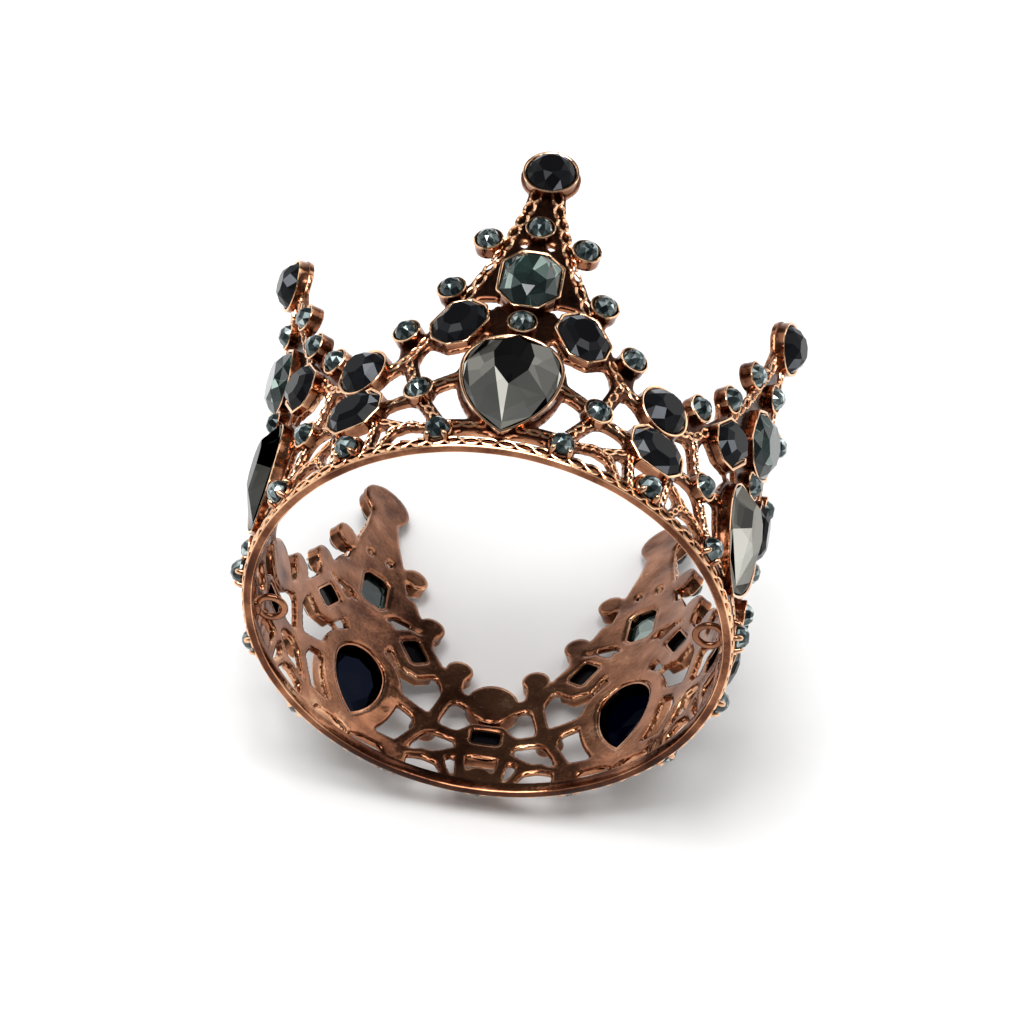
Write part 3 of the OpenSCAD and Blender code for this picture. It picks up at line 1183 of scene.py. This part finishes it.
@dataclass
class Stones:
    """All cut stones, large ones one by one and the small ones as one piece.

    Each facet has a value between dark and bright by chance, which paints the reflection it shows. Of
    the facets seen from the front one in eight is fully bright, a painted glint, of those at the back
    every other one. One pear has a light table, a painted reflection.
    """

    slack: float = 0.03
    seed: int = 29543
    dullest: float = 0.1
    dullest_to: float = 0.8
    bright_front: float = 0.12
    bright_back: float = 0.5
    lit_table: str = "pear_stone_2"
    lit_tone: float = 0.82

    def gem(self, outline: Outline, cut: Cut) -> tuple[np.ndarray, list[list[int]], np.ndarray]:
        """A stone about its own middle, a little smaller than its place.

        Args:
            outline: The outline of the stone's place.
            cut: How the stone is cut.

        Returns:
            Its points, its facets turned outward, and how high each facet lies.
        """
        girdle = outline.corners()
        size = 1 - self.slack / np.abs(girdle).max()
        points = cut.levels(girdle * size)
        if not cut.fan:
            points = points[:-1]
        middle = points.mean(axis=0)
        faces = []
        for face in cut.facets():
            a, b, c = points[face[0]], points[face[1]], points[face[2]]
            outward = np.cross(b - a, c - b) @ (points[face].mean(axis=0) - middle)
            faces.append(face if outward > 0 else face[::-1])
        return points, faces, np.array([points[face][:, 2].mean() for face in faces])

    def tones(self, cut: Cut, heights: np.ndarray, rng: np.random.Generator) -> np.ndarray:
        """A value for each facet, by chance, that paints its reflection; fully bright ones are painted
        glints.

        Unless the table is a fan, the back is dark and the table has the value of its cut.

        Args:
            cut: How the stone is cut.
            heights: How high each facet lies.
            rng: Where the values are drawn.

        Returns:
            The values, from 0 for dark to 1 for bright.
        """
        back, table = heights < cut.girdle_low, heights > cut.table_high - 0.01
        values = rng.uniform(self.dullest, self.dullest_to, len(heights))
        bright = rng.random(len(heights)) < np.where(back, self.bright_back, self.bright_front)
        values = np.where(bright, 1.0, values)
        return values if cut.fan else np.where(back, 0.0, np.where(table, cut.table_tone, values))

    @staticmethod
    def dressed(name: str, points: np.ndarray, faces: list[list[int]],
                values: np.ndarray) -> bpy.types.Object:
        """Makes the stones' mesh with the value on each facet.

        Args:
            name: The piece's name.
            points: Points on the upright crown, in mm.
            faces: The facets, as lists of point numbers.
            values: One value a facet.

        Returns:
            The linked object.
        """
        piece = blender_mesh(name, WALL.laid(points), faces, None)
        layer = piece.data.attributes.new("facet", "FLOAT", "FACE")
        layer.data.foreach_set("value", values.astype(np.float32))
        return piece

    def large(self) -> list[tuple[bpy.types.Object, str, Finish]]:
        """One piece for each large stone.

        Returns:
            The pieces, each with the node that it stands for and its finish.
        """
        made = []
        rng = np.random.default_rng(self.seed)
        for kind in STONES:
            points, faces, heights = self.gem(kind.seat.outline, kind.cut)
            for node, u, turn, k in kind.places():
                place = spun(WALL.flat(points, u, kind.seat.z, turn), k)
                values = self.tones(kind.cut, heights, rng) * SHADES.get(node, 1.0)
                if node == self.lit_table:
                    values[-1] = self.lit_tone
                made.append((self.dressed(node + "_cut", place, faces, values), node, kind.finish))
        return made

    def small(self) -> bpy.types.Object:
        """The small stones of every setting and foot, in one mesh, each turned by chance.

        Returns:
            The piece.
        """
        points, faces, heights = self.gem(SMALL, SMALL_CUT)
        rng = np.random.default_rng(self.seed)
        all_points, all_faces, all_values = [], [], []
        for k in range(PEAKS):
            for seat in SMALL_SEATS + FOOT_SEATS:
                for u, _ in seat.places():
                    start = len(all_points) * len(points)
                    local = WALL.flat(points, u, seat.z, rng.uniform(0, 45))
                    all_points.append(spun(local, k))
                    all_faces += [[start + i for i in face] for face in faces]
                    all_values.append(self.tones(SMALL_CUT, heights, rng))
        return self.dressed("small_stones_cut", np.concatenate(all_points), all_faces,
                            np.concatenate(all_values))


Socket = bpy.types.NodeSocket
Node = bpy.types.Node
Tree = bpy.types.NodeTree
Stops = tuple[tuple[float, tuple[float, float, float]], ...]


class Nodes:
    """A short way to add and join the nodes of one tree."""

    def __init__(self, tree: Tree) -> None:
        """Keeps the tree and empties it."""
        self.tree = tree
        tree.nodes.clear()

    def add(self, kind: str, inputs: dict[str, object] | None = None, **settings: object) -> Node:
        """Adds a node.

        Args:
            kind: The node's type.
            inputs: What goes into its inputs, by name: a socket to join, or a value to set.
            **settings: The node's own settings.

        Returns:
            The node.
        """
        node = self.tree.nodes.new(kind)
        for key, value in settings.items():
            setattr(node, key, value)
        for name, value in (inputs or {}).items():
            self.feed(node.inputs[name], value)
        return node

    def feed(self, end: Socket, value: object) -> None:
        """Joins a socket to an input, or sets the input to a value.

        Args:
            end: The input.
            value: What goes into it.
        """
        if isinstance(value, Socket):
            self.tree.links.new(value, end)
        else:
            end.default_value = value

    def place(self) -> Socket:
        """Object coordinates."""
        return self.add("ShaderNodeTexCoord").outputs["Object"]

    def noise(self, scale: object, detail: float = 3.0) -> Socket:
        """A noise over the piece, out of its factor."""
        node = self.add("ShaderNodeTexNoise", {"Vector": self.place(), "Scale": scale, "Detail": detail})
        return node.outputs["Fac"]

    def math(self, how: str, a: object, b: object = 0.0, clamp: bool = False) -> Socket:
        """A number worked out from two sockets or numbers.

        Args:
            how: The operation.
            a: The first of the two.
            b: The second.
            clamp: Whether the result is kept between 0 and 1.

        Returns:
            The result.
        """
        node = self.add("ShaderNodeMath", operation=how, use_clamp=clamp)
        self.feed(node.inputs[0], a)
        self.feed(node.inputs[1], b)
        return node.outputs[0]

    def total(self, start: object, *parts: tuple[Socket, float]) -> Socket:
        """A number or socket, plus sockets that are each first multiplied by their own weight.

        Args:
            start: The first number or socket.
            *parts: Each socket with its weight.

        Returns:
            The sum.
        """
        for value, weight in parts:
            start = self.math("ADD", start, self.math("MULTIPLY", value, weight))
        return start

    def ramp(self, value: Socket, stops: Stops) -> Socket:
        """A colour ramp.

        Args:
            value: What picks the colour.
            stops: Where each colour is, and the colour.

        Returns:
            The colour.
        """
        node = self.add("ShaderNodeValToRGB", {"Fac": value})
        line = node.color_ramp
        while len(line.elements) < len(stops):
            line.elements.new(0.5)
        for element, (at, colour) in zip(line.elements, stops):
            element.position = at
            element.color = (*colour, 1.0)
        return node.outputs["Color"]


def new_group(name: str, ins: dict[str, float], outs: list[str]) -> tuple[Tree, Nodes, Node, Node]:
    """A node group with number inputs and outputs.

    Args:
        name: The group's name.
        ins: Its inputs' names and first values.
        outs: Its outputs' names.

    Returns:
        The group, its nodes, and the nodes of its inputs and outputs.
    """
    tree = bpy.data.node_groups.new(name, "ShaderNodeTree")
    for key, value in ins.items():
        tree.interface.new_socket(key, in_out="INPUT", socket_type="NodeSocketFloat").default_value = value
    for key in outs:
        tree.interface.new_socket(key, in_out="OUTPUT", socket_type="NodeSocketFloat")
    n = Nodes(tree)
    return tree, n, n.add("NodeGroupInput"), n.add("NodeGroupOutput")


GRAIN_DETAIL = 1.5
PIT_CORE = 0.2
INNER_LINE = 0.025


def grain_group() -> Tree:
    """Fine unevenness that metal and glass share: soft blotches, fine grain and small pits.

    Blotches and grain are noise, the pits are the cores of scattered cells.

    Returns:
        The group.
    """
    tree, n, given, out = new_group(
        "fine_grain", {"Blotch Scale": 250.0, "Grain Scale": 2500.0, "Pit Scale": 900.0},
        ["Blotch", "Grain", "Pits"])
    for name in ("Blotch", "Grain"):
        n.feed(out.inputs[name], n.noise(given.outputs[name + " Scale"], GRAIN_DETAIL))
    cells = n.add("ShaderNodeTexVoronoi", {"Vector": n.place(), "Scale": given.outputs["Pit Scale"]})
    n.feed(out.inputs["Pits"], n.math("LESS_THAN", cells.outputs["Distance"], PIT_CORE))
    return tree


def inner_group() -> Tree:
    """Painted reflections inside a cut stone: the back's facets as flat cells, and the bright lines
    between.

    Returns:
        The group.
    """
    tree, n, given, out = new_group("inner_facets", {"Scale": 400.0}, ["Cell", "Line"])
    where = {"Vector": n.place(), "Scale": given.outputs["Scale"]}
    cells = n.add("ShaderNodeTexVoronoi", where)
    lines = n.add("ShaderNodeTexVoronoi", where, feature="DISTANCE_TO_EDGE")
    split = n.add("ShaderNodeSeparateColor", {"Color": cells.outputs["Color"]})
    n.feed(out.inputs["Cell"], split.outputs["Red"])
    n.feed(out.inputs["Line"], n.math("LESS_THAN", lines.outputs["Distance"], INNER_LINE))
    return tree


def new_material(name: str) -> tuple[bpy.types.Material, Nodes, Node]:
    """A material with an empty tree, a shader and an output.

    Args:
        name: The material's name.

    Returns:
        The material, its nodes and its shader.
    """
    material = bpy.data.materials.new(name)
    material.use_nodes = True
    n = Nodes(material.node_tree)
    shader = n.add("ShaderNodeBsdfPrincipled")
    n.add("ShaderNodeOutputMaterial", {"Surface": shader.outputs["BSDF"]})
    return material, n, shader


@dataclass(frozen=True)
class Copper:
    """Antique copper: dark red-brown where it is sheltered, as patina and painted shade, bright where
    hands rub it and where light is painted on.
    """

    tones: Stops = ((0.0, (0.030, 0.012, 0.008)), (0.3, (0.10, 0.036, 0.019)),
                    (0.62, (0.34, 0.145, 0.075)), (0.95, (0.95, 0.57, 0.34)))
    name: str = "antique_copper"
    patina_scale: float = 55.0
    blotch_scale: float = 260.0
    grain_scale: float = 1900.0
    pit_scale: float = 700.0
    patina: float = 0.85
    blotch: float = 0.6
    speck: float = 0.22
    rough: float = 0.1
    rough_grain: float = 0.24
    rough_rubbed: float = -0.14
    dents: tuple[float, float, float, float] = (0.35, -0.35, 3.5, 22.0)
    dent_strength: float = 0.4
    dent_depth: float = 0.0001

    def material(self, grain: Tree) -> bpy.types.Material:
        """The metal: the value of wear and painted shade, plus patina, blotches and specks, picks the
        colour.

        Grain roughens the metal and rubbing smooths it. Grain, pits, blotches and the slow swell
        of the patina dent it, each by its own height.

        Args:
            grain: The group of fine unevenness.

        Returns:
            The material.
        """
        material, n, shader = new_material(self.name)
        fine = n.add("ShaderNodeGroup", node_tree=grain)
        for name, scale in (("Blotch", self.blotch_scale), ("Grain", self.grain_scale),
                            ("Pit", self.pit_scale)):
            fine.inputs[name + " Scale"].default_value = scale
        blotch, speck, pits = (fine.outputs[name] for name in ("Blotch", "Grain", "Pits"))
        swell = n.noise(self.patina_scale)
        shade = n.add("ShaderNodeAttribute", attribute_name="wear_and_shade").outputs["Fac"]
        for value, size, last in ((blotch, self.blotch, False), (speck, self.speck, False),
                                  (swell, self.patina, True)):
            centred = n.math("MULTIPLY", n.math("SUBTRACT", value, 0.5), size)
            shade = n.math("ADD", shade, centred, clamp=last)
        n.feed(shader.inputs["Base Color"], n.ramp(shade, self.tones))
        rough = n.total(self.rough, (speck, self.rough_grain), (shade, self.rough_rubbed))
        n.feed(shader.inputs["Roughness"], rough)
        height = n.total(0.0, *zip((speck, pits, blotch, swell), self.dents))
        bump = n.add("ShaderNodeBump", {"Strength": self.dent_strength, "Distance": self.dent_depth,
                                        "Height": height})
        n.feed(shader.inputs["Normal"], bump.outputs["Normal"])
        shader.inputs["Metallic"].default_value = 1.0
        return material


@dataclass(frozen=True)
class Glass:
    """Cut glass: tones that change from facet to facet and with what shows inside, painted reflections and
    glints, hard polished.
    """

    name: str
    tones: Stops
    inner: float = 0.0
    inner_scale: float = 400.0
    lines: float = 0.0
    metallic: float = 0.0
    transmission: float = 0.0
    roughness: float = 0.03
    smear: float = 0.04
    smear_scale: float = 500.0
    coat: float = 0.0
    coat_roughness: float = 0.02
    bend: float = 1.55
    shine: float = 0.5
    edge: float = 1.0

    def material(self, grain: Tree, within: Tree) -> bpy.types.Material:
        """The glass: facet value, mixed with the inner cells and lines of painted reflection, picks the
        tone; smears dull the polish.

        Args:
            grain: The group of fine unevenness.
            within: The group of what shows inside.

        Returns:
            The material.
        """
        material, n, shader = new_material(self.name)
        facet = n.add("ShaderNodeAttribute", attribute_name="facet").outputs["Fac"]
        fine = n.add("ShaderNodeGroup", node_tree=grain)
        fine.inputs["Blotch Scale"].default_value = self.smear_scale
        cells = n.add("ShaderNodeGroup", node_tree=within)
        cells.inputs["Scale"].default_value = self.inner_scale
        tone = n.total(0.0, (facet, 1.0 - self.inner), (cells.outputs["Cell"], self.inner),
                       (cells.outputs["Line"], self.lines))
        n.feed(shader.inputs["Base Color"], n.ramp(tone, self.tones))
        n.feed(shader.inputs["Roughness"], n.total(self.roughness, (fine.outputs["Blotch"], self.smear)))
        own = {"Metallic": self.metallic, "Transmission Weight": self.transmission, "IOR": self.bend,
               "Specular IOR Level": self.shine, "Specular Tint": (self.edge, self.edge, self.edge, 1.0),
               "Coat Weight": self.coat, "Coat Roughness": self.coat_roughness}
        for socket, value in own.items():
            shader.inputs[socket].default_value = value
        return material


# The bright top stop of each ramp paints glints on the facets that pick it; the mirror ramp's whole range
# paints reflections
BLACK_TONES = ((0.2, (0.004, 0.004, 0.005)), (0.85, (0.010, 0.011, 0.013)), (0.97, (0.13, 0.14, 0.155)))
TEAL_TONES = ((0.45, (0.006, 0.012, 0.0105)), (0.8, (0.018, 0.042, 0.036)), (0.98, (0.40, 0.52, 0.46)))
MIRROR_TONES = ((0.1, (0.006, 0.007, 0.011)), (0.3, (0.095, 0.093, 0.085)), (0.57, (0.49, 0.475, 0.42)),
                (1.0, (0.92, 0.90, 0.82)))
GREY_TONES = ((0.25, (0.008, 0.015, 0.016)), (0.65, (0.06, 0.085, 0.085)), (0.95, (0.62, 0.72, 0.70)))
GLASSES = {
    Finish.BLACK: Glass("black_glass", BLACK_TONES, shine=0.075, roughness=0.015),
    Finish.TEAL: Glass("teal_glass", TEAL_TONES, inner=0.3, inner_scale=330.0, lines=0.12,
                       metallic=0.2, transmission=0.25, coat=0.25),
    Finish.MIRROR: Glass("mirror_glass", MIRROR_TONES, inner=0.12, inner_scale=260.0, metallic=1.0,
                         edge=0.3),
    Finish.GREY: Glass("grey_glass", GREY_TONES, inner=0.45, inner_scale=900.0, metallic=0.75, coat=0.3),
}


@dataclass
class Studio:
    """The pale floor, the soft lights and the camera at the photograph's viewing angle.

    Each light has a name, a place and a size in metres, and a power in watts. The room's colours
    stand by height, from 0 at the level of the crown to 1 overhead.
    """

    aim: tuple[float, float, float] = (0.2, -3.0, 34.35)
    distance: float = 489.5
    azimuth: float = 5.66
    elevation: float = 48.64
    roll: float = 3.23
    lens: float = 121.2
    sensor: float = 36.0
    nearest: float = 0.01
    floor_size: float = 3.0
    floor_noise: float = 3.0
    floor_rough: float = 0.6
    floor_tones: Stops = ((0.3, (0.86, 0.86, 0.86)), (0.7, (0.9, 0.9, 0.9)))
    room: Stops = ((0.12, (0.85, 0.86, 0.88)), (0.4, (0.13, 0.135, 0.14)),
                   (0.83, (0.13, 0.135, 0.14)), (0.95, (1.1, 1.1, 1.08)))
    lights: tuple[tuple[str, tuple[float, float, float], float, float], ...] = (
        ("key_light", (-0.16, -0.06, 0.88), 0.6, 7.5),
        ("left_light", (-0.68, 0.3, 0.46), 0.65, 1.3),
        ("right_light", (0.62, 0.40, 0.45), 0.65, 1.9),
        ("glint_light", (0.3, -0.16, 0.85), 0.15, 0.9))
    lit: tuple[float, float, float] = (0, 0, 0.03)

    def build(self) -> None:
        """Makes the floor, lights, world and camera."""
        bpy.context.scene.view_settings.view_transform = "Standard"
        self.floor()
        for light in self.lights:
            self.light(*light)
        self.sky()
        self.camera()

    def sky(self) -> None:
        """The room round the crown: pale low down and overhead, dim between, by height alone."""
        world = bpy.data.worlds.new("studio")
        bpy.context.scene.world = world
        world.use_nodes = True
        n = Nodes(world.node_tree)
        around = n.add("ShaderNodeTexCoord").outputs["Generated"]
        height = n.add("ShaderNodeSeparateXYZ", {"Vector": around}).outputs["Z"]
        ground = n.add("ShaderNodeBackground", {"Color": n.ramp(height, self.room)})
        n.add("ShaderNodeOutputWorld", {"Surface": ground.outputs["Background"]})

    def floor(self) -> None:
        """A wide pale floor at the surface that the crown lies on."""
        s = self.floor_size / 2
        points = np.array([[-s, -s, 0], [s, -s, 0], [s, s, 0], [-s, s, 0]])
        floor = blender_mesh("floor", points, [[0, 1, 2, 3]], None)
        material, n, shader = new_material("pale_floor")
        n.feed(shader.inputs["Base Color"], n.ramp(n.noise(self.floor_noise), self.floor_tones))
        shader.inputs["Roughness"].default_value = self.floor_rough
        floor.data.materials.append(material)

    def light(self, name: str, place: tuple[float, float, float], size: float, power: float) -> None:
        """A square area light that faces the crown.

        Args:
            name: The light's name.
            place: Where it hangs, in metres.
            size: The length of its sides.
            power: Its power in watts.
        """
        data = bpy.data.lights.new(name, "AREA")
        data.shape, data.size, data.energy = "SQUARE", size, power
        lamp = bpy.data.objects.new(name, data)
        bpy.context.scene.collection.objects.link(lamp)
        lamp.location = place
        toward = Vector(self.lit) - Vector(place)
        lamp.rotation_euler = toward.to_track_quat("-Z", "Y").to_euler()

    def camera(self) -> None:
        """The camera: round the aim by azimuth, up by elevation, then rolled about its own view."""
        data = bpy.data.cameras.new("camera")
        data.lens, data.sensor_width, data.clip_start = self.lens, self.sensor, self.nearest
        camera = bpy.data.objects.new("camera", data)
        bpy.context.scene.collection.objects.link(camera)
        a, e = math.radians(self.azimuth), math.radians(self.elevation)
        back = Vector((math.sin(a) * math.cos(e), -math.cos(a) * math.cos(e), math.sin(e)))
        turn = (-back).to_track_quat("-Z", "Y").to_matrix()
        turn = turn @ Matrix.Rotation(math.radians(self.roll), 3, "Z")
        place = Vector(self.aim) * MM + back * self.distance * MM
        camera.matrix_world = Matrix.Translation(place) @ turn.to_4x4()
        bpy.context.scene.camera = camera


def main() -> None:
    """Builds every piece of the crown, dresses it and sets the studio up."""
    logging.basicConfig(level=logging.INFO, format="%(name)s %(message)s")
    grain = grain_group()
    within = inner_group()
    materials = {finish: glass.material(grain, within) for finish, glass in GLASSES.items()}
    materials[Finish.COPPER] = Copper().material(grain)
    metal = {
        "frame_net": Net().surface(),
        "frame_settings": Settings().all(),
        "frame_feet": Foot().all(),
        "frame_filigree": Filigree().all(),
        "frame_band": Band().surface(),
        "frame_band_eyes": Filigree().round_band(),
        "frame_eyelets": Surface.joined([Eyelet(degrees).surface() for degrees in EYELETS]),
    }
    made = [(copper_piece(name, part), "frame", Finish.COPPER) for name, part in metal.items()]
    stones = Stones()
    made += stones.large()
    made.append((stones.small(), "small_stones", Finish.GREY))
    for piece, node, finish in made:
        piece.data.materials.append(materials[finish])
        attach(piece, "root")
        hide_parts(node)
        LOG.info("%s: %d faces, for %s", piece.name, len(piece.data.polygons), node)
    Studio().build()


if __name__ == "__main__":
    main()
